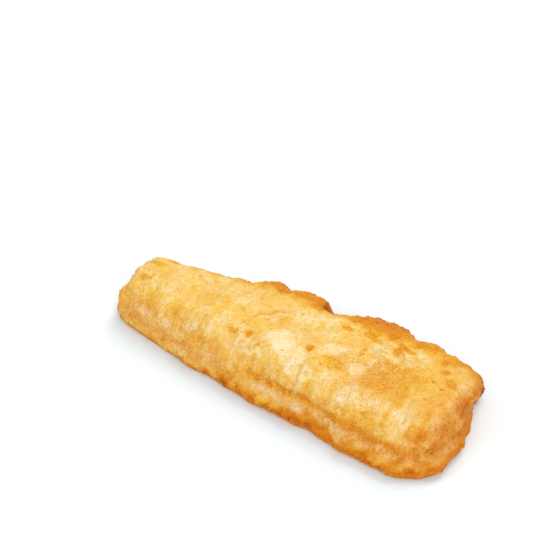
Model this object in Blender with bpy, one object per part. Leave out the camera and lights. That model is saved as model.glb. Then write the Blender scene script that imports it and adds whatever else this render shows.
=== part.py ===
"""A battered and deep-fried fish fillet, as one solid.

It is a tapered slab with steep ends and a broad rounded shoulder on its near (-Y) side. A furrow runs
under that shoulder and round the wide end, over a bulging lip of batter. The far (+Y) edge carries
lobes where batter pooled and set. The underside is flat, and the fillet rests on it.

Metres, +Z up. The origin is under the middle of the fillet, and +X runs to its wide end.
"""

from collections import namedtuple

import bmesh
import bpy
from mathutils import Vector, noise

MM = 0.001

# Driving dimensions of the bare slab, before the batter's lumps
WIDE_LENGTH = 69.8 * MM  # from the middle to the wide end
NARROW_LENGTH = 72.8 * MM  # and to the narrow end
HEIGHT = 19.6 * MM
CROWN = 2.0 * MM  # how much the top falls from the middle to the two long edges
NEAR_HALF = 21.6 * MM  # from the long axis to the near edge, half way along
FAR_HALF = 29.2 * MM  # the same to the far edge
NEAR_TAPER = 0.118  # how fast the near edge leaves the axis towards the wide end
FAR_TAPER = 0.085
BOW = 0.65  # per metre: both long edges bow out in the middle
THINNER = 2.4 * MM  # how much lower the crown is at the tip of the narrow end
SLANT = 0.16  # the wide end is cut back on its far half, in metres per metre
WIDE_CORNER = 13 * MM  # radius of the corners, seen from above
NARROW_CORNER = 8 * MM
CORNERING = 2.1  # exponent of the corners: 2 is a circle

# The rounding of the four sides: a superellipse from the foot up, drawing in by this much
ROUNDING = 2.05  # its exponent: 2 is a circle, and more is squarer
NEAR_SHOULDER = 18 * MM
FAR_SHOULDER = 14 * MM
WIDE_SHOULDER = 7.5 * MM
NARROW_SHOULDER = 8 * MM

# The quads of the mesh
TOP_COLUMNS, TOP_ROWS, WALL_ROWS = 80, 28, 10
REST_PATCH = (100 * MM, 20 * MM)  # the middle of the underside, as one flat quad

# Where a side counts as the far side or as the wide end, by its way out: (none of it, all of it)
FAR_SIDE = (0.2, 0.8)
WIDE_END = (0.0, 0.8)

# The furrow under the shoulder, and the lip below it
FURROW_HEIGHT = 9.6 * MM  # where it starts, half way along the near side
FURROW_FALL = 0.035  # it comes down towards the wide end's near corner
FURROW_CLIMB = 0.08  # and climbs again across the wide end
FURROW_WANDER, WANDER_LENGTH = 1.4 * MM, 15 * MM
FURROW_BAND = 3.6 * MM  # half its height on the wall
FURROW_DEPTH = 2.0 * MM
FURROW_UNEVEN, UNEVEN_LENGTH = 1.1, 10 * MM  # how much that varies along it, as a share
FURROW_START, FURROW_FULL = -18 * MM, 6 * MM  # along X, on the near side
END_SHALLOWER = 0.35  # the share of its depth that it loses across the wide end
LIP_HEIGHT = 3.4 * MM
LIP_BAND = 4.2 * MM
LIP_REACH = 0.8 * MM
LIP_SWELL = 0.9 * MM  # and as much more under the furrow
LIP_LUMP, LIP_LUMP_LENGTH = 1.7 * MM, 8 * MM  # it is lumpy along its length
TUCK_HEIGHT, TUCK = 2.2 * MM, 1.3 * MM  # the foot turns in under the lip

# Batter that pooled on the far edge: (from, to, reach), along X
Lobe = namedtuple("Lobe", "start end reach")
LOBES = (
    Lobe(-50 * MM, -26 * MM, 2.0 * MM),
    Lobe(-31 * MM, -17 * MM, 6.5 * MM),
    Lobe(-19 * MM, 0 * MM, 6.5 * MM),
    Lobe(7 * MM, 37 * MM, 6.0 * MM),
    Lobe(36 * MM, 48 * MM, 2.2 * MM),
)
LOBE_ROOT, LOBE_FULL = 3 * MM, 11 * MM  # heights: a lobe grows out of the side between them
LOBE_FULLNESS = 0.5  # exponent of their plan: less is blunter

# Bulges and hollows of the sides, pushed level out of the wall: (x, y, z, radius, reach)
Bulge = namedtuple("Bulge", "x y z radius reach")
BULGES = (
    Bulge(-72 * MM, -6 * MM, 10.5 * MM, 6 * MM, 1.8 * MM),  # a knob on the narrow end
    Bulge(-70 * MM, 10 * MM, 12 * MM, 9 * MM, 2.6 * MM),
    Bulge(-70 * MM, 3 * MM, 13 * MM, 7 * MM, 2.0 * MM),
    Bulge(4 * MM, 24 * MM, 14 * MM, 8 * MM, -3.0 * MM),  # the notch between two lobes
    Bulge(65 * MM, 18 * MM, 14 * MM, 12 * MM, 4.2 * MM),  # the far end of the wide end's rim
    Bulge(66 * MM, 17 * MM, 3 * MM, 12 * MM, -4.2 * MM),  # and the hollow under it
    Bulge(-1 * MM, -22 * MM, 5 * MM, 6 * MM, 0.7 * MM),  # swellings of the lip
    Bulge(35 * MM, -26 * MM, 4 * MM, 7 * MM, 0.7 * MM),
    Bulge(-32 * MM, -19 * MM, 4 * MM, 8 * MM, 1.8 * MM),
    Bulge(20 * MM, -23 * MM, 3 * MM, 15 * MM, -1.1 * MM),  # and where it stands back
    Bulge(65 * MM, -26 * MM, 4 * MM, 13 * MM, -0.9 * MM),
    Bulge(69 * MM, 5 * MM, 4 * MM, 8 * MM, -1.4 * MM),
)

# Rises and dents of the top: (x, y, radius, rise)
Spot = namedtuple("Spot", "x y radius rise")
SPOTS = (
    Spot(27 * MM, -7 * MM, 11 * MM, -0.9 * MM),  # the wide shallow hollow
    Spot(39 * MM, -4 * MM, 12 * MM, -1.0 * MM),
    Spot(44 * MM, -17 * MM, 7 * MM, 0.6 * MM),  # the swelling in front of it
    Spot(58 * MM, -6 * MM, 9 * MM, 0.5 * MM),
    Spot(22 * MM, 4 * MM, 7 * MM, 0.9 * MM),
    Spot(46 * MM, 15 * MM, 7 * MM, 0.7 * MM),
    Spot(4 * MM, 3 * MM, 11 * MM, 0.6 * MM),
    Spot(10 * MM, 14 * MM, 6 * MM, 0.7 * MM),
    Spot(-30 * MM, -2 * MM, 9 * MM, 0.5 * MM),
    Spot(-52 * MM, 5 * MM, 9 * MM, 0.5 * MM),
    Spot(8 * MM, -3.6 * MM, 3 * MM, -0.9 * MM),
    Spot(-20 * MM, -9.5 * MM, 3.5 * MM, -0.9 * MM),
    Spot(-14 * MM, -7.6 * MM, 3 * MM, -0.8 * MM),
    Spot(-41 * MM, -12 * MM, 5 * MM, -0.7 * MM),
    Spot(24 * MM, 14 * MM, 3.5 * MM, -1.0 * MM),
    Spot(30 * MM, 18 * MM, 3.5 * MM, -1.1 * MM),
    Spot(36 * MM, 11 * MM, 3.5 * MM, -0.9 * MM),
    Spot(53 * MM, 15 * MM, 4 * MM, -0.9 * MM),
    Spot(-65 * MM, -2 * MM, 3.5 * MM, -0.9 * MM),
    Spot(-62 * MM, -9 * MM, 3.5 * MM, -0.6 * MM),
    Spot(-65 * MM, 6 * MM, 3.5 * MM, -0.9 * MM),
)

# A crease where the batter folded, as points along the top
CREASE = (
    Vector((-21 * MM, -6 * MM)),
    Vector((-18.8 * MM, 2 * MM)),
    Vector((-11 * MM, 9 * MM)),
)
CREASE_WIDTH, CREASE_DEPTH = 3.2 * MM, 1.0 * MM

# Uneven batter all over: (spacing of the lumps, how far they stand out)
LUMPS = ((12 * MM, 0.9 * MM), (6 * MM, 0.5 * MM))

BATTER_COLOUR = (0.871, 0.497, 0.112, 1.0)  # linear: pale golden batter
BATTER_ROUGHNESS = 0.55


def swell(distance):
    """1 at no distance, falling smoothly to 0 at a distance of 1."""
    left = max(0.0, 1.0 - distance * distance)
    return left * left


def ramp(value, start, end):
    """0 before start, 1 after end, and smooth between."""
    share = min(1.0, max(0.0, (value - start) / (end - start)))
    return share * share * (3.0 - 2.0 * share)


def slab(block):
    """The place of a point of the plain block, and the level way out of the side that it is on.

    Each point lies on a level ring round the slab. The ring draws in towards the top as the shoulders
    round over, and its corners are round. The way out has a length of 1 on the sides, and fades to
    nothing across the shoulders to the top.
    """
    wide, far = block.x > 0.0, block.y > 0.0
    length = WIDE_LENGTH if wide else NARROW_LENGTH
    width = FAR_HALF if far else NEAR_HALF
    end_shoulder = WIDE_SHOULDER if wide else NARROW_SHOULDER
    side_shoulder = FAR_SHOULDER if far else NEAR_SHOULDER
    x, y, up = abs(block.x) * length, abs(block.y) * width, block.z / HEIGHT
    out = Vector((0.0, 0.0, 0.0))

    # How far into each shoulder the point is, from 0 to 1 on the block's skin
    along = max(0.0, 1.0 - (length - x) / end_shoulder)
    across = max(0.0, 1.0 - (width - y) / side_shoulder)
    ring = max(along, across)
    shrink = (ring**ROUNDING + up**ROUNDING) ** (-1.0 / ROUNDING)
    if ring > 0.0:
        x = length - end_shoulder * (1.0 - along * shrink) if along else x
        y = width - side_shoulder * (1.0 - across * shrink) if across else y
        corner = (WIDE_CORNER if wide else NARROW_CORNER) * ring
        past_x = 1.0 - (length - end_shoulder * (1.0 - ring * shrink) - x) / corner
        past_y = 1.0 - (width - side_shoulder * (1.0 - ring * shrink) - y) / corner
        if past_x > 0.0 and past_y > 0.0:
            draw_in = 1.0 - (past_x**CORNERING + past_y**CORNERING) ** (-1.0 / CORNERING)
            x -= corner * past_x * draw_in
            y -= corner * past_y * draw_in
        out = Vector((max(0.0, past_x), max(0.0, past_y), 0.0)).normalized() * ring

    x, out.x = (x, out.x) if wide else (-x, -out.x)
    y, out.y = (y, out.y) if far else (-y, -out.y)
    y *= 1.0 + ((FAR_TAPER if far else NEAR_TAPER) * x - BOW * x * x) / width
    z = block.z * shrink
    z *= 1.0 - THINNER / HEIGHT * ramp(-x, 0.0, NARROW_LENGTH) - CROWN / HEIGHT * block.y**2
    x -= SLANT * max(0.0, y) * ramp(x, 0.0, WIDE_LENGTH)
    return Vector((x, y, z)), out


def crease_depth(place):
    """How deep the crease is here."""
    nearest = CREASE_WIDTH
    for start, end in zip(CREASE, CREASE[1:]):
        run = end - start
        share = min(1.0, max(0.0, (place.xy - start).dot(run) / run.length_squared))
        nearest = min(nearest, (place.xy - start - share * run).length)
    return CREASE_DEPTH * swell(nearest / CREASE_WIDTH)


def furrow_height(place, out):
    """The height of the furrow's bottom at this place on the near side or the wide end."""
    height = FURROW_HEIGHT - FURROW_FALL * max(0.0, place.x)
    height += FURROW_CLIMB * max(0.0, place.y + NEAR_HALF) * ramp(out.x, *WIDE_END)
    return height + FURROW_WANDER * noise.noise(place / WANDER_LENGTH)


def side_reach(place, out):
    """How far the batter stands out of a side here, level: out fades to nothing on top."""
    on_far_side = ramp(out.y, *FAR_SIDE)
    furrowed = ramp(place.x, FURROW_START, FURROW_FULL) * (1.0 - on_far_side)
    furrowed *= 1.0 - END_SHALLOWER * ramp(out.x, *WIDE_END)
    uneven = 1.0 + FURROW_UNEVEN * noise.noise(place / UNEVEN_LENGTH)
    below = (place.z - furrow_height(place, out)) / FURROW_BAND
    reach = -FURROW_DEPTH * uneven * furrowed * swell(below)
    lip = LIP_REACH + LIP_SWELL * furrowed + LIP_LUMP * noise.noise(place / LIP_LUMP_LENGTH)
    reach += lip * swell((place.z - LIP_HEIGHT) / LIP_BAND)
    reach -= TUCK * swell(place.z / TUCK_HEIGHT)
    for lobe in LOBES if out.y > 0.0 else ():
        middle, half = (lobe.start + lobe.end) / 2, (lobe.end - lobe.start) / 2
        plan = swell((place.x - middle) / half) ** LOBE_FULLNESS
        reach += lobe.reach * plan * ramp(place.z, LOBE_ROOT, LOBE_FULL)
    for bulge in BULGES:
        away = (place - Vector((bulge.x, bulge.y, bulge.z))).length
        reach += bulge.reach * swell(away / bulge.radius)
    return reach


def batter(place, out, normal):
    """Moves a point of the slab to the surface of the batter."""
    shift = out * side_reach(place, out)
    rise = sum(s.rise * swell((place.xy - Vector((s.x, s.y))).length / s.radius) for s in SPOTS)
    shift.z += (rise - crease_depth(place)) * max(0.0, normal.z)
    lump = sum(size * noise.noise(place / spacing) for spacing, size in LUMPS)
    shift += normal * lump
    if place.z < TUCK_HEIGHT:
        shift.z *= place.z / TUCK_HEIGHT
    return place + shift


def make_block(mesh):
    """A block of quads with an open underside: x and y run from -1 to 1, and z is a height."""
    bmesh.ops.create_grid(mesh, x_segments=TOP_COLUMNS, y_segments=TOP_ROWS, size=1.0)
    bmesh.ops.translate(mesh, verts=mesh.verts, vec=(0.0, 0.0, HEIGHT))
    rim = [edge for edge in mesh.edges if edge.is_boundary]
    for row in range(1, WALL_ROWS + 1):
        grown = bmesh.ops.extrude_edge_only(mesh, edges=rim)["geom"]
        for vert in (item for item in grown if isinstance(item, bmesh.types.BMVert)):
            vert.co.z = HEIGHT * (1.0 - row / WALL_ROWS)
        rim = [edge for edge in mesh.edges if edge.is_boundary]


def close_underside(mesh):
    """A flat quad in the middle of the underside, and a flat band from it to the foot."""
    foot = [edge for edge in mesh.edges if edge.is_boundary]
    for vert in {vert for edge in foot for vert in edge.verts}:
        vert.co.z = 0.0
    half_x, half_y = REST_PATCH[0] / 2, REST_PATCH[1] / 2
    corners = [(-half_x, -half_y), (half_x, -half_y), (half_x, half_y), (-half_x, half_y)]
    patch = mesh.faces.new([mesh.verts.new((x, y, 0.0)) for x, y in corners])
    bmesh.ops.triangle_fill(mesh, edges=foot + list(patch.edges), use_beauty=True)
    bmesh.ops.recalc_face_normals(mesh, faces=mesh.faces)


def centre(mesh):
    """Moves the fillet so that the middle of its box is over the origin."""
    xs = [vert.co.x for vert in mesh.verts]
    ys = [vert.co.y for vert in mesh.verts]
    middle = Vector(((min(xs) + max(xs)) / 2, (min(ys) + max(ys)) / 2, 0.0))
    bmesh.ops.translate(mesh, verts=mesh.verts, vec=-middle)


def make_material():
    material = bpy.data.materials.new("golden batter")
    material.use_nodes = True
    finish = material.node_tree.nodes["Principled BSDF"]
    finish.inputs["Base Color"].default_value = BATTER_COLOUR
    finish.inputs["Roughness"].default_value = BATTER_ROUGHNESS
    finish.inputs["Metallic"].default_value = 0.0
    material.diffuse_color = BATTER_COLOUR
    return material


def make_fillet():
    mesh = bmesh.new()
    make_block(mesh)
    sides = {}
    for vert in mesh.verts:
        vert.co, sides[vert] = slab(vert.co)
    mesh.normal_update()
    placed = [(vert, batter(vert.co, sides[vert], vert.normal)) for vert in mesh.verts]
    for vert, place in placed:
        vert.co = place
    close_underside(mesh)
    centre(mesh)
    data = bpy.data.meshes.new("fillet")
    mesh.to_mesh(data)
    mesh.free()
    data.shade_smooth()
    data.materials.append(make_material())
    fillet = bpy.data.objects.new("fillet", data)
    bpy.context.scene.collection.objects.link(fillet)


for leftover in list(bpy.data.objects):
    bpy.data.objects.remove(leftover)
make_fillet()
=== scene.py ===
"""The looks of a battered and deep-fried fish fillet, resting on a pale floor.

Metres, +Z up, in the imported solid's frame: +X runs to the fillet's wide end, -Y is its near side, and
the origin is on the floor under the middle of its box.
"""

import math
import random
from collections import namedtuple

import bmesh
import bpy
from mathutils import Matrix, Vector, noise


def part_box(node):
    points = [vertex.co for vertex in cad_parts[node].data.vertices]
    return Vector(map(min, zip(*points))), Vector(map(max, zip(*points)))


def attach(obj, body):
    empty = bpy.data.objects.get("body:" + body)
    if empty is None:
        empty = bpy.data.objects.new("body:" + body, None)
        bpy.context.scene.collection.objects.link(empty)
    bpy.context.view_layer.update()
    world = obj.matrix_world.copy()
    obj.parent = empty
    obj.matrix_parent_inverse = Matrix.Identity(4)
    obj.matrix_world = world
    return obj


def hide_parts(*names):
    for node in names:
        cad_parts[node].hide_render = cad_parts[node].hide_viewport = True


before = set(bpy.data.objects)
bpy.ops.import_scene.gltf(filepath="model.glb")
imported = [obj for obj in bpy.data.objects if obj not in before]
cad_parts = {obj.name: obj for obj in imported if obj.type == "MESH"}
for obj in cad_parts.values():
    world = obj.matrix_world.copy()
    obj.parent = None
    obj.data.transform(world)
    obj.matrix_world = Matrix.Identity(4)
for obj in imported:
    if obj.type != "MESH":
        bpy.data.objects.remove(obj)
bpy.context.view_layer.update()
low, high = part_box("fillet")

# ---- The form of the crust ---------------------------------------------------------------------
# The batter was poured on wet and set within seconds in the oil, so it is one skin with no seam. It is
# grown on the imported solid: the same shape as a fine even mesh, smoothed free of the solid's facets.
MM = 0.001
GRAIN_OF_MESH = 0.5 * MM
FACET_SMOOTHING = 10  # passes, each of which rounds a facet's edge by about half a mesh step
noise.seed_set(8)  # so that the batter bends and frays the same way each time


def fine_copy(node, name):
    """The node's shape as an even mesh of small quads, with its facets smoothed away."""
    mesh = bmesh.new()
    mesh.from_mesh(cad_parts[node].data)
    bmesh.ops.remove_doubles(mesh, verts=mesh.verts, dist=0.001 * MM)
    data = bpy.data.meshes.new(name)
    mesh.to_mesh(data)
    mesh.free()
    coarse = bpy.data.objects.new(name, data)
    bpy.context.scene.collection.objects.link(coarse)
    remesh = coarse.modifiers.new("even quads", "REMESH")
    remesh.mode = "VOXEL"
    remesh.voxel_size = GRAIN_OF_MESH
    smooth = coarse.modifiers.new("smooth", "SMOOTH")
    smooth.factor = 0.5
    smooth.iterations = FACET_SMOOTHING
    bpy.context.view_layer.update()
    evaluated = coarse.evaluated_get(bpy.context.evaluated_depsgraph_get())
    fine = bpy.data.meshes.new_from_object(evaluated)
    bpy.data.objects.remove(coarse)
    piece = bpy.data.objects.new(name, fine)
    bpy.context.scene.collection.objects.link(piece)
    return piece


def swell(distance):
    """1 at no distance, falling smoothly to 0 at a distance of 1."""
    left = max(0.0, 1.0 - distance * distance)
    return left * left


def ramp(value, start, end):
    """0 before start, 1 after end, and smooth between."""
    share = min(1.0, max(0.0, (value - start) / (end - start)))
    return share * share * (3.0 - 2.0 * share)


def waver(place, spacing, *apart):
    """Smooth noise with swells this far apart. The last three numbers keep it from following another's."""
    return noise.noise(place / spacing + Vector(apart))


def bend(place, spacing, by):
    """The place, pushed about by up to this much, so that what is drawn there isn't straight or round."""
    return place + Vector(noise.noise_vector(place / spacing)) * by


crust = fine_copy("fillet", "crust")

# ---- Where the batter differs ------------------------------------------------------------------
# The zones of the crust: the soft top, the rippled near shoulder, the furrow and the lip under it, the
# crisp lobes and rim on the far edge, the walls of the two ends, and the foot that fried against the
# basket. A place is in each zone to some extent, from 0 to 1, and they overlap.
Zones = namedtuple("Zones", "top side near shoulder furrow lip lobes rim narrow_end wide_end foot under")
# The furrow falls a little towards the wide end, and climbs again as it goes round it
FURROW_HEIGHT, FURROW_FALL, FURROW_CLIMB = 9.8 * MM, 0.012, 0.08
FURROW_BAND = 2.8 * MM  # how far its middle line is from its edge, as for the lip
LIP_HEIGHT, LIP_BAND = 7.2 * MM, 2.6 * MM
FOOT_BAND, FOOT_SWELL, FOOT_RAGGED = 4.8 * MM, 1.9 * MM, 2.8 * MM  # its height, and how that varies
RIM, RIM_RAGGED = (11 * MM, 20 * MM), 2.5 * MM  # from the long axis: where the far rim browns

# The lobes along the far edge: where each starts and ends as shares of the half length, and how browned
Lobe = namedtuple("Lobe", "start end browned")
LOBES = (
    Lobe(-0.98, -0.70, 0.3),
    Lobe(-0.66, -0.36, 0.3),
    Lobe(-0.40, -0.12, 0.6),
    Lobe(-0.20, 0.10, 0.9),
    Lobe(0.02, 0.22, 0.5),
    Lobe(0.12, 0.56, 1.0),
    Lobe(0.50, 0.70, 0.6),
    Lobe(0.66, 0.98, 0.35),
)


def zones(place, normal):
    """How far a place, whose surface faces along the normal, is in each zone."""
    along = place.x / high.x
    top = ramp(normal.z, 0.45, 0.85)
    under = ramp(-normal.z, 0.3, 0.7) * ramp(-place.z, -1.5 * MM, 0.0)
    near = ramp(-normal.y, -0.1, 0.35) * (1.0 - ramp(place.y, -0.1 * high.y, 0.5 * high.y))
    wide_end = ramp(place.x, high.x - 10 * MM, high.x - 4 * MM) * ramp(normal.x, 0.15, 0.6)
    narrow_end = ramp(-place.x, 58 * MM, 65 * MM) * ramp(-normal.x, 0.1, 0.6)
    shoulder = ramp(-normal.y, 0.05, 0.4) * ramp(place.z, 9.5 * MM, 12.5 * MM) * near
    line = FURROW_HEIGHT - FURROW_FALL * max(0.0, place.x)
    line += FURROW_CLIMB * max(0.0, place.y + 0.75 * high.y) * ramp(normal.x, 0.0, 0.8)
    cut = ramp(place.x, -20 * MM, 8 * MM) * (1.0 - ramp(normal.y, 0.2, 0.8))
    furrow = swell((place.z - line) / FURROW_BAND) * cut
    lip = swell((place.z - LIP_HEIGHT) / LIP_BAND) * max(near, wide_end)
    ragged = place.y + RIM_RAGGED * waver(place, 5 * MM, 6.0, 1.0, 2.0)
    rim = max(ramp(ragged, *RIM), 0.7 * ramp(normal.y, 0.25, 0.7) * ramp(-place.x, 20 * MM, 30 * MM))
    in_lobe = max(lobe.browned * min(1.0, 1.8 * swell((2 * along - lobe.start - lobe.end) /
                                                      (lobe.end - lobe.start))) for lobe in LOBES)
    band = FOOT_BAND * (0.5 + 0.5 * ramp(place.x, -45 * MM, -15 * MM))
    band += FOOT_SWELL * ramp(place.x, -5 * MM, 12 * MM) * (1.0 - 0.3 * ramp(place.x, 36 * MM, 50 * MM))
    band += FOOT_RAGGED * waver(place, 4.5 * MM, 0.0, 4.0, 7.0)
    foot = ramp(band - place.z, -1.0 * MM, 2.5 * MM) * (1.0 - under)
    return Zones(top, 1.0 - top, near, shoulder, furrow, lip, rim * in_lobe, rim, narrow_end, wide_end, foot,
                 under)


# ---- The relief of the crust -------------------------------------------------------------------
# Frying steam swells the batter into soft lumps, drawn into ripples down the near shoulder. Where the
# crust is thin and crisp, on the lobes, the rims and the foot, it stands in blisters with creases between.
# Each layer: how far apart its lumps are, how far they stand out, and how far its blisters do where crisp
Layer = namedtuple("Layer", "spacing rise crisp_rise")
LAYERS = (
    Layer(6.5 * MM, 0.26 * MM, 0.20 * MM),
    Layer(3.2 * MM, 0.20 * MM, 0.24 * MM),
    Layer(1.6 * MM, 0.18 * MM, 0.24 * MM),
)
END_FILL = 0.8 * MM  # the furrow is shallower where it rounds the wide end
SPUR_SPACING, SPUR_RISE = 2.1 * MM, 0.42 * MM  # thin crests that stand up where the crust is crisp
KNOB_SPACING, KNOB_RISE = 4.2 * MM, 0.5 * MM  # drips that set as knobs round the foot and the rims
WARP_SPACING, WARP = 5 * MM, 1.4 * MM  # bends them out of round
RIPPLE_SPACING, RIPPLE_LENGTH, RIPPLE_RISE = 3.2 * MM, 16 * MM, 0.46 * MM
SIDES_IN = 0.10 * MM  # the lumps stand out more than in, so the sides are drawn back by this

# Pits where a bubble burst: shares of the half length and half width, then radius and depth
Pit = namedtuple("Pit", "along across radius depth")
PITS = (
    Pit(0.14, -0.20, 1.5 * MM, 0.7 * MM),
    Pit(-0.17, -0.30, 1.1 * MM, 0.6 * MM),
    Pit(-0.26, -0.33, 1.5 * MM, 0.35 * MM),
    Pit(0.58, -0.64, 1.1 * MM, 0.4 * MM),
    Pit(0.74, 0.46, 1.5 * MM, 0.5 * MM),
    Pit(0.78, 0.28, 1.8 * MM, 0.4 * MM),
    Pit(0.35, 0.43, 1.5 * MM, 0.5 * MM),
    Pit(0.42, 0.52, 1.4 * MM, 0.5 * MM),
    Pit(0.53, 0.42, 1.5 * MM, 0.6 * MM),
    Pit(0.59, 0.38, 1.4 * MM, 0.5 * MM),
    Pit(0.21, 0.36, 1.2 * MM, 0.4 * MM),
    Pit(-0.57, -0.37, 2.0 * MM, 0.2 * MM),
    Pit(-0.88, -0.09, 1.7 * MM, 0.5 * MM),
    Pit(-0.85, -0.27, 1.8 * MM, 0.5 * MM),
    Pit(-0.90, 0.17, 1.4 * MM, 0.4 * MM),
    Pit(-0.82, 0.32, 1.2 * MM, 0.4 * MM),
)
# Pores: pinholes that the steam left, as shares again
PORES = (
    (-0.67, -0.14), (-0.54, 0.29), (-0.26, 0.26), (-0.25, -0.17), (-0.22, -0.02), (-0.84, 0.01), (0.76, 0.07),
    (0.82, 0.02), (0.79, -0.24), (0.03, -0.38), (-0.10, -0.40), (0.20, 0.12), (-0.65, -0.42), (0.24, -0.34),
)
PORE_RADIUS, PORE_DEPTH = 0.70 * MM, 0.50 * MM
PIT_FILLED = 0.7  # how much of a pit's depth is left where soft batter ran back into it

# A fold where the wet batter slid and lapped: the points it runs through, as shares again
FOLD = ((-0.27, -0.18), (-0.23, -0.04), (-0.18, 0.10), (-0.13, 0.19), (-0.07, 0.21))
FOLD_MIDDLE, FOLD_REACH = (-0.16, 0.13), 10 * MM  # it dies away from its middle
FOLD_WIDTH, FOLD_RISE = 1.7 * MM, 0.65 * MM


def folding(place):
    """From about 3/4 where the fold laps over, on its near side, to as much below 0 in the crease."""
    middle = Vector((FOLD_MIDDLE[0] * high.x, FOLD_MIDDLE[1] * high.y))
    strength = swell(min(1.0, (place.xy - middle).length / FOLD_REACH))
    if strength == 0.0:
        return 0.0
    nearest, side = 1.0, 0.0
    bent = bend(place, 2.5 * MM, 0.7 * MM).xy
    points = [Vector((along * high.x, across * high.y)) for along, across in FOLD]
    for start, end in zip(points, points[1:]):
        run, reach = end - start, bent - start
        share = min(1.0, max(0.0, reach.dot(run) / run.length_squared))
        away = (reach - share * run).length / FOLD_WIDTH
        if away < nearest:
            nearest, side = away, 1.0 if run.x * reach.y - run.y * reach.x < 0.0 else -1.0
    return strength * side * 2.6 * nearest * swell(nearest)


def pitting(place):
    """How deep a pit or a pore is here, how much of a pit's floor this is, and how much of a pore's."""
    depth, floor, pore = 0.0, 0.0, 0.0
    bent = bend(place, 2.2 * MM, 1.2 * MM).xy
    for pit in PITS:
        away = (bent - Vector((pit.along * high.x, pit.across * high.y))).length / pit.radius
        if away < 1.6:  # the floor's browning reaches past the pit itself
            depth = max(depth, PIT_FILLED * pit.depth * swell(away))
            floor = max(floor, ramp(1.5 - away, 0.0, 1.3))
    for along, across in PORES:
        away = (place.xy - Vector((along * high.x, across * high.y))).length / PORE_RADIUS
        if away < 1.0:
            depth = max(depth, PORE_DEPTH * swell(away))
            pore = swell(away)
    return depth, floor, pore


def blister(place, spacing):
    """From 0 in the creases between blisters to about 1 on their tops."""
    return min(1.0, 2.2 * abs(noise.noise(place / spacing)))


# How crisp each zone may get
CRISPEST = {
    "foot": 0.85, "lobes": 0.5, "rim": 0.95, "narrow_end": 0.9, "wide_end": 0.6, "furrow": 0.4, "lip": 0.5,
}


def crispness(place, zone):
    """From 0 where the crust is soft to 1 where it is thin, brown and crackled."""
    ragged = 0.5 + waver(place, 6 * MM, 3.0, 8.0, 5.0)
    most = max(share * getattr(zone, name) for name, share in CRISPEST.items())
    return max(0.0, min(1.0, most * (0.7 + 0.8 * ragged)))


# Where the batter ran as it set, and left the side hollower or fuller: the shares and height of the
# middle, how far it reaches, and how far it stands out
Run = namedtuple("Run", "along across height reach rise")
RUNS = (
    Run(0.98, 0.54, 13 * MM, 8 * MM, -2.0 * MM),
    Run(0.98, 0.42, 7 * MM, 5 * MM, 0.8 * MM),
    Run(0.14, -0.95, 2 * MM, 24 * MM, -0.8 * MM),
    Run(0.00, 0.62, 12 * MM, 7 * MM, -0.8 * MM),
    Run(0.52, 0.92, 12 * MM, 7 * MM, -0.8 * MM),
)


def rippling(place):
    """The ripples that run down the near shoulder."""
    down = Vector((place.x / RIPPLE_SPACING, place.y / RIPPLE_LENGTH, place.z / RIPPLE_LENGTH))
    return noise.noise(down) + 0.7 * noise.noise(2.0 * down)


def relief(place, zone, crisp):
    """How far the crust's lumps, blisters, crests, knobs and ripples stand out here."""
    bent = bend(place, WARP_SPACING, WARP)
    height = -SIDES_IN * zone.side
    for layer in LAYERS:
        height += layer.rise * waver(bent, layer.spacing, 9.0, 3.0, 6.0)
        height += layer.crisp_rise * crisp * (blister(bent, layer.spacing) - 0.7)
    crest = max(0.0, 1.0 - 4.0 * abs(waver(place, SPUR_SPACING, 2.0, 6.0, 9.0)))
    height += SPUR_RISE * crisp * (crest * crest - 0.45)
    knob = waver(place, KNOB_SPACING, 7.0, 1.0, 4.0)
    height += KNOB_RISE * max(zone.foot, zone.rim, zone.narrow_end) * knob
    return height + RIPPLE_RISE * zone.shoulder * rippling(place) + END_FILL * zone.furrow * zone.wide_end


def running(place):
    """How far the batter stands out here because it ran as it set."""
    stands_out = 0.0
    for run in RUNS:
        away = (place - Vector((run.along * high.x, run.across * high.y, run.height))).length / run.reach
        stands_out += run.rise * swell(away)
    return stands_out
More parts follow.
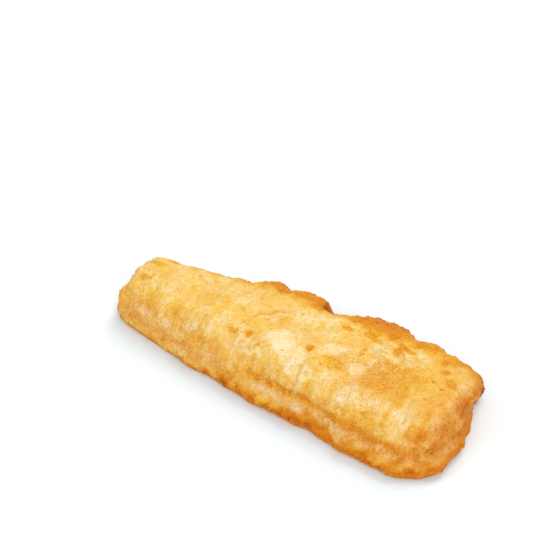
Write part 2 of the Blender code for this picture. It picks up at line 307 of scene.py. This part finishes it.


# ---- Browning ----------------------------------------------------------------------------------
# Batter browns most where it is thin or stands out into the oil, and stays pale where it is thick. Each
# vertex keeps how browned it is, with some painted light and shade in that number, whether it is in a cream
# or a toasted patch, how far it leans from yellow to peach, and how strong its grain and the painted shade
# of the grain's pores are. All run from 0 to 1.

# Stains of the top: its middle as shares of the half length and half width, how far it reaches both ways,
# and how much more browned it is
TopStain = namedtuple("TopStain", "along across length width browned")
TOP_STAINS = (
    TopStain(0.57, -0.12, 17 * MM, 14 * MM, 0.22),  # the wide shallow hollow
    TopStain(0.75, 0.20, 22 * MM, 22 * MM, 0.11),
    TopStain(0.29, -0.25, 8 * MM, 4 * MM, 0.22),
    TopStain(-0.01, -0.20, 8 * MM, 7 * MM, -0.13),  # pale cream round it
    TopStain(0.07, -0.32, 8 * MM, 6 * MM, -0.14),
    TopStain(0.05, 0.22, 6 * MM, 4 * MM, -0.11),
    TopStain(0.27, -0.04, 5 * MM, 4 * MM, -0.12),
    TopStain(0.18, 0.12, 6 * MM, 3 * MM, -0.09),
    TopStain(0.40, -0.17, 4.5 * MM, 5 * MM, -0.13),
    TopStain(0.48, -0.03, 7 * MM, 3.5 * MM, -0.15),
    TopStain(0.44, 0.20, 6 * MM, 4 * MM, -0.10),
    TopStain(0.17, -0.50, 9 * MM, 4 * MM, -0.10),
    TopStain(0.31, -0.44, 4 * MM, 4 * MM, -0.08),
    TopStain(0.45, -0.58, 8 * MM, 3.5 * MM, -0.10),
    TopStain(0.61, -0.53, 12 * MM, 3 * MM, -0.09),
    TopStain(0.72, -0.50, 6 * MM, 3 * MM, -0.06),
    TopStain(0.94, 0.37, 3.2 * MM, 6 * MM, 0.14),
    TopStain(0.64, 0.35, 7 * MM, 3 * MM, -0.10),
    TopStain(-0.40, -0.40, 10 * MM, 4 * MM, -0.07),
    TopStain(-0.38, 0.22, 10 * MM, 6 * MM, -0.06),
    TopStain(-0.70, 0.06, 9 * MM, 6 * MM, -0.06),
    TopStain(0.10, -0.62, 14 * MM, 4 * MM, -0.08),
    TopStain(0.82, -0.05, 10 * MM, 14 * MM, 0.12),
    TopStain(0.85, -0.28, 6 * MM, 10 * MM, 0.12),
    TopStain(0.85, -0.63, 5 * MM, 4 * MM, 0.26),
    TopStain(0.84, 0.16, 3.5 * MM, 3 * MM, 0.22),
    TopStain(0.78, 0.28, 3 * MM, 2 * MM, 0.24),
    TopStain(0.74, 0.46, 2.5 * MM, 2 * MM, 0.26),
    TopStain(0.14, -0.20, 2.8 * MM, 1.9 * MM, 0.30),  # where bubbles burst
    TopStain(0.51, 0.41, 3.4 * MM, 2 * MM, 0.40),
    TopStain(0.56, 0.39, 2.8 * MM, 1.8 * MM, 0.36),
    TopStain(0.505, 0.32, 2.4 * MM, 3 * MM, 0.34),
    TopStain(0.34, 0.43, 2.8 * MM, 2.2 * MM, 0.30),
    TopStain(0.38, 0.37, 2.6 * MM, 1.8 * MM, 0.28),
    TopStain(0.22, 0.33, 3.8 * MM, 2.2 * MM, 0.30),
    TopStain(0.37, 0.10, 1.8 * MM, 4.5 * MM, 0.18),
    TopStain(0.56, -0.65, 1.6 * MM, 2.6 * MM, 0.22),
    TopStain(-0.06, 0.06, 5 * MM, 4 * MM, 0.14),
    TopStain(-0.52, -0.04, 6 * MM, 4 * MM, 0.13),
    TopStain(-0.90, -0.22, 3 * MM, 4 * MM, 0.12),
    TopStain(-0.87, -0.06, 4 * MM, 2.6 * MM, 0.24),
    TopStain(-0.74, -0.29, 4 * MM, 3 * MM, 0.12),
    TopStain(-0.87, 0.22, 4.5 * MM, 1.8 * MM, 0.22),
    TopStain(-0.81, 0.34, 4 * MM, 2 * MM, 0.28),
    TopStain(-0.57, -0.37, 4 * MM, 3 * MM, 0.15),
    TopStain(-0.17, -0.30, 2.8 * MM, 1.8 * MM, 0.28),
    TopStain(-0.27, -0.33, 3.4 * MM, 2 * MM, 0.24),
    TopStain(-0.40, -0.46, 3.5 * MM, 2.5 * MM, 0.09),
)

# Stains of the sides: the shares, a height, how far each reaches along the fillet and round its side,
# and how much more browned it is. The pale ones are thick batter, and peach rather than yellow. One, on
# the upper wall of the wide end, is painted shade rather than a stain.
SideStain = namedtuple("SideStain", "along across height length girth browned")
SIDE_STAINS = (
    SideStain(-0.20, -0.72, 5.5 * MM, 6.5 * MM, 4.5 * MM, 0.23),
    SideStain(-0.09, -0.78, 5.5 * MM, 9 * MM, 3.5 * MM, 0.24),
    SideStain(0.09, -0.85, 4.3 * MM, 4 * MM, 2.4 * MM, 0.12),
    SideStain(0.31, -0.84, 4.8 * MM, 4 * MM, 2.6 * MM, 0.14),
    SideStain(0.36, -0.84, 5.5 * MM, 3 * MM, 2.4 * MM, 0.12),
    SideStain(-0.34, -0.69, 3.9 * MM, 4 * MM, 2.5 * MM, 0.22),
    SideStain(0.00, -0.70, 7.6 * MM, 6 * MM, 3 * MM, -0.18),
    SideStain(0.21, -0.76, 7.6 * MM, 6 * MM, 2.2 * MM, -0.16),
    SideStain(0.41, -0.77, 6.8 * MM, 4 * MM, 2.4 * MM, -0.16),
    SideStain(0.51, -0.86, 6.3 * MM, 4 * MM, 2.2 * MM, -0.14),
    SideStain(0.69, -0.82, 7.9 * MM, 5 * MM, 1.7 * MM, -0.20),
    SideStain(0.78, -0.85, 7.1 * MM, 4 * MM, 2 * MM, -0.14),
    SideStain(0.85, -0.73, 11.7 * MM, 3.5 * MM, 2.2 * MM, -0.14),
    SideStain(-0.63, -0.48, 10.5 * MM, 6 * MM, 3.5 * MM, -0.12),
    SideStain(-0.49, -0.44, 13.7 * MM, 5 * MM, 3 * MM, -0.12),
    SideStain(-0.33, -0.60, 9 * MM, 5 * MM, 3 * MM, -0.14),
    SideStain(-0.23, -0.50, 14.5 * MM, 6 * MM, 4 * MM, -0.08),
    SideStain(-0.65, -0.42, 12.7 * MM, 3 * MM, 2 * MM, 0.16),
    SideStain(0.92, -0.61, 9 * MM, 3 * MM, 5 * MM, 0.12),
    SideStain(0.95, -0.34, 9 * MM, 2.5 * MM, 4 * MM, 0.06),
    SideStain(0.96, -0.17, 12.6 * MM, 3 * MM, 3 * MM, -0.10),
    # Painted shade rather than a stain: darkens the upper wall of the wide end
    SideStain(0.95, 0.08, 13.5 * MM, 4 * MM, 8 * MM, 0.24),
    SideStain(0.90, -0.76, 6.2 * MM, 5 * MM, 3.5 * MM, 0.26),
    SideStain(0.96, -0.13, 7.8 * MM, 2.5 * MM, 1.6 * MM, 0.12),
    SideStain(0.94, 0.38, 12 * MM, 5 * MM, 6 * MM, 0.16),
    SideStain(0.08, 0.62, 12 * MM, 10 * MM, 6 * MM, 0.12),
    SideStain(-0.78, -0.42, 10 * MM, 9 * MM, 6 * MM, -0.15),
    SideStain(-0.92, 0.10, 13.5 * MM, 4 * MM, 4 * MM, 0.16),
)
BLOTCH_SPACING, CREAM_SPACING = 3.4 * MM, 7.0 * MM
CREAM_SHOWS, TOAST_SHOWS = 0.64, 0.45  # the most that these patches show where nothing stains the crust
PATCH_RAGGED = (2.0 * MM, 0.9 * MM)  # how far apart the bends in a patch's edge are, and how deep
MOST_PATCHED = 0.78  # so that even the middle of a patch is broken up


def stains(place, zone, normal, mottle):
    """How much the stains brown the crust here, and how cream, how toasted and how peach they are."""
    bent = bend(place, *PATCH_RAGGED)
    wander = Vector(noise.noise_vector(place / (6.0 * MM) + Vector((3.0, 7.0, 1.0)))) * 0.3
    uneven = 1.0 + 0.4 * mottle
    brown = cream = toast = peach = 0.0
    facing_up = ramp(normal.z, -0.1, 0.4)
    for stain in TOP_STAINS if facing_up > 0.0 else ():
        x = (bent.x - stain.along * high.x) / stain.length + wander.x
        y = (bent.y - stain.across * high.y) / stain.width + wander.y
        away = math.hypot(x, y) * uneven
        if away < 1.0:
            amount = stain.browned * ramp(1.0 - away, 0.0, 0.6) * facing_up
            brown += 0.55 * amount
            cream += max(0.0, -amount) / 0.18
            toast += max(0.0, amount - 0.10) / 0.20
    for stain in SIDE_STAINS:
        x = (bent.x - stain.along * high.x) / stain.length + wander.x
        y = (bent.y - stain.across * high.y) / stain.girth + wander.y
        z = (bent.z - stain.height) / stain.girth + wander.z
        away = math.hypot(x, y, z) * uneven
        if away < 1.0:
            amount = 0.8 * stain.browned * ramp(1.0 - away, 0.0, 0.7)
            brown += 0.6 * amount
            cream += max(0.0, -amount) / 0.20
            peach += max(0.0, -amount) / 0.30
            toast += max(0.0, amount - 0.08) / 0.24
    return brown, min(MOST_PATCHED, cream), min(MOST_PATCHED, toast), peach


# How browned the soft top is, from raw to dark brown, and how much more browned each zone is
SOFT_TOP = 0.305
# Painted light: the narrow end is a little less browned, to make up for the weaker light that falls on it
BROWNER = {"side": 0.14, "wide_end": 0.09, "rim": 0.17, "narrow_end": -0.05, "under": 0.2}
BROWNER_FOOT, BROWNER_FURROW, BROWNER_LOBES = 0.45, 0.16, 0.235
# Painted light and shade: ripple crests and all that stands out are paler, troughs and hollows darker
CRISP_BROWNER, RIPPLE_CRESTS_PAINTED_LIGHTER = 0.04, 0.09
RAISED_PAINTED_LIGHTER = 0.035 / (0.4 * MM)  # painted light and shade, for each metre that the crust stands out


def browning(place, zone, height, crisp, mottle):
    """How browned the crust is here, before the stains, with painted light and shade in it."""
    broad = waver(place, 13 * MM, 2.0, 5.0, 1.0)
    brown = SOFT_TOP + 0.06 * broad + 0.06 * mottle
    brown += sum(more * getattr(zone, name) for name, more in BROWNER.items())
    # The foot is less browned low down and round the wide end: painted light, to offset the shade that falls
    # on it there
    low_down = 1.0 - ramp(place.z, 2.0 * MM, 6.0 * MM)
    brown += zone.foot * (BROWNER_FOOT - 0.26 * zone.wide_end) * (1.0 - 0.40 * low_down)
    # The furrow is made darker; towards the wide end, where it is shallower, some of that passes to the lip
    passed = 0.03 * ramp(place.x, 8 * MM, 26 * MM)
    brown += (BROWNER_FURROW - passed) * zone.furrow * (1.0 - 0.6 * zone.wide_end) + passed * zone.lip
    brown += BROWNER_LOBES * zone.lobes * (1.0 + 0.2 * broad + 0.1 * mottle)
    # Crisp crust is browner. Painted light and shade: ripple crests and what stands out are paler, hollows
    # darker
    brown += CRISP_BROWNER * crisp - RIPPLE_CRESTS_PAINTED_LIGHTER * zone.shoulder * rippling(place)
    return brown - RAISED_PAINTED_LIGHTER * height


def patches(place, zone):
    """How near this is to being a thick pale patch of batter, and to being a thin toasted one."""
    bent = bend(place, *PATCH_RAGGED)
    cream = ramp(waver(bent, CREAM_SPACING, 5.0, 2.0, 8.0), -0.15, 0.40)
    toast = ramp(waver(bent, BLOTCH_SPACING, 1.0, 6.0, 2.0), 0.10, 0.55)
    return CREAM_SHOWS * cream * (1.0 - zone.rim) * (1.0 - zone.foot), TOAST_SHOWS * toast


HOLLOW, HOLLOW_REACH = (0.47, -0.20), 23 * MM  # the wide shallow hollow, as shares again


def in_hollow(place):
    """From 1 in the middle of the wide shallow hollow to 0 outside it."""
    return swell(math.hypot(place.x - HOLLOW[0] * high.x, place.y - HOLLOW[1] * high.y) / HOLLOW_REACH)


def peachiness(place, zone):
    """How far the crust leans from yellow to peach: most on the lip, in the hollow and at the wide end."""
    drift = waver(place, 8 * MM, 4.0, 2.0, 9.0)
    lean = 0.15 + 0.4 * zone.side + 0.3 * zone.lip + 0.3 * drift + 0.45 * in_hollow(place)
    lean += 0.4 * zone.lip * ramp(place.x, 0.0, 20 * MM) + 0.35 * ramp(place.x, 45 * MM, 60 * MM)
    lean -= 0.08 * ramp(-place.x, 54 * MM, 64 * MM)
    return max(0.0, lean) * (1.0 - zone.foot) * (1.0 - zone.rim) + 0.5 * max(zone.wide_end, zone.foot)


def grain_and_pore_shading(place, zone):
    """How strong the flour's grain is here, and with it the painted shade of its pores."""
    return max(0.0, min(1.0, 0.6 + 0.4 * in_hollow(place) + 0.25 * zone.furrow + 0.2 * zone.side))


def add_number(data, name, values):
    """Gives a mesh one number for each vertex, which the material reads."""
    data.attributes.new(name, "FLOAT", "POINT").data.foreach_set("value", values)


def dress(data):
    """Gives a mesh its relief and the numbers that its colour is made from."""
    numbers = {"browned": [], "cream": [], "toast": [], "peach": [], "grain_and_pore_shade": []}
    moved = []
    for vert in data.vertices:
        place, normal = vert.co.copy(), vert.normal.copy()
        zone = zones(place, normal)
        crisp = crispness(place, zone)
        fold = zone.top * folding(place)
        height = relief(place, zone, crisp) + FOLD_RISE * fold
        depth, floor, pore = pitting(place) if zone.top > 0.0 else (0.0, 0.0, 0.0)
        mottle = waver(place, 4.0 * MM, 7.0, 1.0, 4.0)
        stained, cream, toast, peach = stains(place, zone, normal, mottle)
        soft_cream, soft_toast = patches(place, zone)
        # Painted light and shade: the lap of the fold is paler and its crease darker
        brown = browning(place, zone, height, crisp, mottle) + stained - 0.12 * fold
        numbers["browned"].append(brown + (0.05 * floor + 0.5 * pore) * zone.top)
        numbers["cream"].append(max(cream, soft_cream) * (1.0 - toast))
        numbers["toast"].append(max(toast, soft_toast * (1.0 - cream)))
        numbers["peach"].append(max(0.0, min(1.0, peachiness(place, zone) + peach)))
        numbers["grain_and_pore_shade"].append(grain_and_pore_shading(place, zone))
        out = height + running(place) - depth * zone.top
        moved.append(place + normal * out * (1.0 - zone.under))
    for vert, place in zip(data.vertices, moved):
        vert.co = (place.x, place.y, max(0.0, place.z))
    for name, values in numbers.items():
        add_number(data, name, values)


dress(crust.data)
crust.data.shade_smooth()

# ---- The finish of the crust -------------------------------------------------------------------
# Fried wheat batter: a dry, faintly translucent crust with a thin film of oil in places, which alone
# glints. Its colour runs from cream through gold to orange-brown, and its fine grain is the flour's and
# the steam's, with painted shade that darkens the colour in the grain's pores.


def linear(code):
    """A colour written as sRGB hex, as the linear values that Blender mixes."""
    shares = [int(code[i:i + 2], 16) / 255 for i in (0, 2, 4)]
    return [s / 12.92 if s <= 0.04045 else ((s + 0.055) / 1.055) ** 2.4 for s in shares] + [1.0]


def add_node(tree, kind, settings=None, **links):
    """Adds a node. Settings name its properties or inputs, and links name inputs and their sources."""
    node = tree.nodes.new(kind)
    for name, value in (settings or {}).items():
        if name in node.inputs:
            node.inputs[name].default_value = value
        else:
            setattr(node, name, value)
    for name, source in links.items():
        tree.links.new(source, node.inputs[int(name[2:]) if name.startswith("in") else name])
    return node


def set_ramp(node, stops):
    """Fills a colour ramp with (place, sRGB hex) stops."""
    elements = node.color_ramp.elements
    while len(elements) < len(stops):
        elements.new(0.5)
    for element, (place, code) in zip(elements, stops):
        element.position = place
        element.color = linear(code)


# From raw to dark brown, where the batter leans to yellow and where it leans to peach
YELLOW_BATTER = (
    (0.00, "edd6ae"), (0.20, "e8c67c"), (0.40, "e1ae3c"), (0.60, "d9911a"), (0.80, "cc7403"), (1.0, "a85000"),
)
PEACH_BATTER = (
    (0.00, "edd0ab"), (0.20, "e4b982"), (0.40, "dca254"), (0.60, "d1862a"), (0.80, "c3690e"), (1.0, "9f4b02"),
)
CRUMB_GRAIN, MOTTLING = 0.8 * MM, 3.0 * MM  # each is broken up further, down to the flour's own grain
FRAY = 2.2 * MM  # how the edges of the patches fray
OIL_PATCH = 1.2 * MM
MOTTLED, SPECKLED, PAINTED_PORE_SHADE = 0.38, -0.64, 0.62  # how much the mottling and the grain vary the browning, and the grain's painted pore shade
CREAM_PALER, TOAST_BROWNER, FRAYED = -0.12, 0.085, 2.3
BRIGHTNESS = 1.28  # makes up for what the speckles' painted pore shade takes

batter = bpy.data.materials.new("fried batter crust")
batter.use_nodes = True
tree = batter.node_tree
finish = tree.nodes["Principled BSDF"]
where = add_node(tree, "ShaderNodeTexCoord").outputs["Object"]
browned, peach, grain_and_pore_shade, cream, toast = (
    add_node(tree, "ShaderNodeAttribute", {"attribute_name": name}).outputs["Fac"]
    for name in ("browned", "peach", "grain_and_pore_shade", "cream", "toast")
)
grain = add_node(tree, "ShaderNodeTexNoise", {"Scale": 1 / CRUMB_GRAIN, "Detail": 2.0, "Roughness": 0.85},
                 Vector=where).outputs["Fac"]
mottling = add_node(tree, "ShaderNodeTexNoise", {"Scale": 1 / MOTTLING, "Detail": 3.0, "Roughness": 0.65},
                    Vector=where).outputs["Fac"]
fray = add_node(tree, "ShaderNodeTexNoise",
                {"Scale": 1 / FRAY, "Detail": 5.0, "Roughness": 0.7, "Distortion": 0.4},
                Vector=where).outputs["Fac"]


def spread(source, amount, middle=0.0):
    """A value from 0 to 1, scaled to swing by this amount about the middle."""
    node = add_node(tree, "ShaderNodeMath", {"operation": "MULTIPLY_ADD"}, in0=source)
    node.inputs[1].default_value = amount
    node.inputs[2].default_value = middle - 0.5 * amount
    return node.outputs[0]


def mix_in(base, source, amount, middle=0.0):
    """Adds to the base a value from 0 to 1, scaled to swing by this amount about the middle."""
    return add_node(tree, "ShaderNodeMath", {"operation": "ADD"}, in0=spread(source, amount, middle),
                    in1=base).outputs[0]


def frayed(presence, amount):
    """A patch's mask, with its edge frayed by the noise."""
    node = add_node(tree, "ShaderNodeMapRange", {"interpolation_type": "SMOOTHSTEP", "From Min": 0.43,
                                                 "From Max": 0.61}, Value=mix_in(presence, fray, amount))
    return node.outputs["Result"]


# The flour's grain: it shifts the browning, and darkens the colour as painted shade in its pores
speckle = add_node(tree, "ShaderNodeMath", {"operation": "MULTIPLY"}, in0=spread(grain, 1.0), in1=grain_and_pore_shade)
speckle = speckle.outputs[0]
pale, dark = frayed(cream, FRAYED), frayed(toast, -FRAYED)
total = mix_in(browned, mottling, MOTTLED)
total = mix_in(total, speckle, SPECKLED, 0.5 * SPECKLED)
total = mix_in(total, pale, CREAM_PALER, 0.5 * CREAM_PALER)
total = mix_in(total, dark, TOAST_BROWNER, 0.5 * TOAST_BROWNER)
yellow = add_node(tree, "ShaderNodeValToRGB", Fac=total)
set_ramp(yellow, YELLOW_BATTER)
rosy = add_node(tree, "ShaderNodeValToRGB", Fac=total)
set_ramp(rosy, PEACH_BATTER)
colour = add_node(tree, "ShaderNodeMix", {"data_type": "RGBA"}, in0=peach, in6=yellow.outputs["Color"],
                  in7=rosy.outputs["Color"])
# Painted shade: the colour is darker in the grain's pores and lighter between them
colour_with_pore_shade = add_node(tree, "ShaderNodeHueSaturation", Color=colour.outputs[2],
                  Value=spread(speckle, PAINTED_PORE_SHADE, BRIGHTNESS))
tree.links.new(colour_with_pore_shade.outputs["Color"], finish.inputs["Base Color"])
height = mix_in(spread(grain, 0.45), fray, 0.45)
height = mix_in(mix_in(height, pale, 0.05), dark, -0.05)
bump = add_node(tree, "ShaderNodeBump", {"Strength": 1.0, "Distance": 1.0 * MM}, Height=height)
tree.links.new(bump.outputs["Normal"], finish.inputs["Normal"])
tree.links.new(bump.outputs["Normal"], finish.inputs["Coat Normal"])
oil = add_node(tree, "ShaderNodeTexNoise", {"Scale": 1 / OIL_PATCH, "Detail": 1.0}, Vector=where)
film = add_node(tree, "ShaderNodeMapRange", {"From Min": 0.68, "From Max": 0.74, "To Max": 0.7},
                Value=oil.outputs["Fac"])
tree.links.new(film.outputs["Result"], finish.inputs["Coat Weight"])
finish.inputs["Coat Roughness"].default_value = 0.15  # the oil
finish.inputs["Roughness"].default_value = 0.5
finish.inputs["IOR"].default_value = 1.45  # starch and cooking oil
finish.inputs["Specular IOR Level"].default_value = 0.12
finish.inputs["Subsurface Weight"].default_value = 0.1
finish.inputs["Subsurface Radius"].default_value = (1.0, 0.45, 0.15)
finish.inputs["Subsurface Scale"].default_value = 1.0 * MM
crust.data.materials.clear()
crust.data.materials.append(batter)

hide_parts("fillet")
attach(crust, "root")

# ---- Beads of batter ---------------------------------------------------------------------------
# Drops that spat off in the oil and fried hard on the crust: small lumps on the foot and the lobes, each
# sunk almost half way into the crust.
BEADS, BEAD_RADIUS = 70, (0.35 * MM, 0.75 * MM)
LUMP_SPACING, LUMPINESS = 0.6 * MM, 0.5


def add_bead(beads, place, radius):
    """One lumpy bead about the place."""
    ball = bmesh.ops.create_icosphere(beads, subdivisions=2, radius=radius)
    for vert in ball["verts"]:
        lumpy = 1.0 + LUMPINESS * noise.noise((vert.co + place) / LUMP_SPACING)
        vert.co = place + vert.co * lumpy
        vert.co.z = max(0.0, vert.co.z)


dice = random.Random(5)
lumps = bmesh.new()
spots = list(crust.data.vertices)
dice.shuffle(spots)
placed = 0
for spot in spots:
    zone = zones(spot.co, spot.normal)
    if max(zone.foot, zone.lobes) * dice.random() > 0.55 and spot.co.z > 0.5 * MM and zone.under == 0.0:
        radius = dice.uniform(*BEAD_RADIUS) * dice.random() ** 0.3
        add_bead(lumps, spot.co + spot.normal * 0.1 * radius, radius)
        placed += 1
    if placed == BEADS:
        break
bead_data = bpy.data.meshes.new("beads")
lumps.to_mesh(bead_data)
lumps.free()
beads = bpy.data.objects.new("beads", bead_data)
bpy.context.scene.collection.objects.link(beads)
for name, value in (("browned", 0.62), ("cream", 0.0), ("toast", 0.4), ("peach", 0.1), ("grain_and_pore_shade", 0.6)):
    add_number(bead_data, name, [value] * len(bead_data.vertices))
bead_data.shade_smooth()
bead_data.materials.append(batter)
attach(beads, "root")

# ---- The floor, the light and the camera -------------------------------------------------------
# A plain white sweep under a soft studio light from above and behind, with a broad fill from the
# front, so that the near side is almost as bright as the top.
floor_mesh = bmesh.new()
bmesh.ops.create_grid(floor_mesh, x_segments=1, y_segments=1, size=3.0)
floor_data = bpy.data.meshes.new("floor")
floor_mesh.to_mesh(floor_data)
floor_mesh.free()
floor = bpy.data.objects.new("floor", floor_data)
bpy.context.scene.collection.objects.link(floor)
paper = bpy.data.materials.new("white paper")
paper.use_nodes = True
matt = paper.node_tree.nodes["Principled BSDF"]
matt.inputs["Base Color"].default_value = linear("e1e6e8")
matt.inputs["Roughness"].default_value = 0.9
matt.inputs["Specular IOR Level"].default_value = 0.1
floor_data.materials.append(paper)


def add_softbox(name, place, size, power, shade):
    """A round lamp of this size, aimed at the fillet."""
    light = bpy.data.lights.new(name, "AREA")
    light.shape = "DISK"
    light.size = size
    light.energy = power
    light.color = linear(shade)[:3]
    box = bpy.data.objects.new(name, light)
    bpy.context.scene.collection.objects.link(box)
    box.location = place
    box.rotation_euler = (-Vector(place)).to_track_quat("-Z", "Y").to_euler()


add_softbox("key", (0.0, 1.02, 1.04), 1.1, 13.0, "fffaf2")
add_softbox("fill", (1.05, -1.2, 1.0), 1.6, 20.5, "ffffff")
add_softbox("left", (-1.2, -0.9, 1.1), 1.0, 6.5, "ffffff")
world = bpy.data.worlds.new("studio")
bpy.context.scene.world = world
world.use_nodes = True
air = world.node_tree.nodes["Background"]
air.inputs["Color"].default_value = linear("f3f9fc")
air.inputs["Strength"].default_value = 0.75

# The camera looks down from the near side, a little to the wide end's side
AZIMUTH, ELEVATION = math.radians(33.0), math.radians(39.5)
DISTANCE = 0.9
LOOK_AT = Vector((-0.0263, 0.0311, 0.0085))
back = Vector((math.sin(AZIMUTH) * math.cos(ELEVATION), -math.cos(AZIMUTH) * math.cos(ELEVATION),
               math.sin(ELEVATION)))
camera = bpy.data.objects.new("camera", bpy.data.cameras.new("camera"))
bpy.context.scene.collection.objects.link(camera)
camera.location = LOOK_AT + DISTANCE * back
camera.rotation_euler = back.to_track_quat("Z", "Y").to_euler()
camera.data.sensor_width = 36.0
camera.data.lens = 156.2
bpy.context.scene.camera = camera
bpy.context.scene.view_settings.view_transform = "Standard"
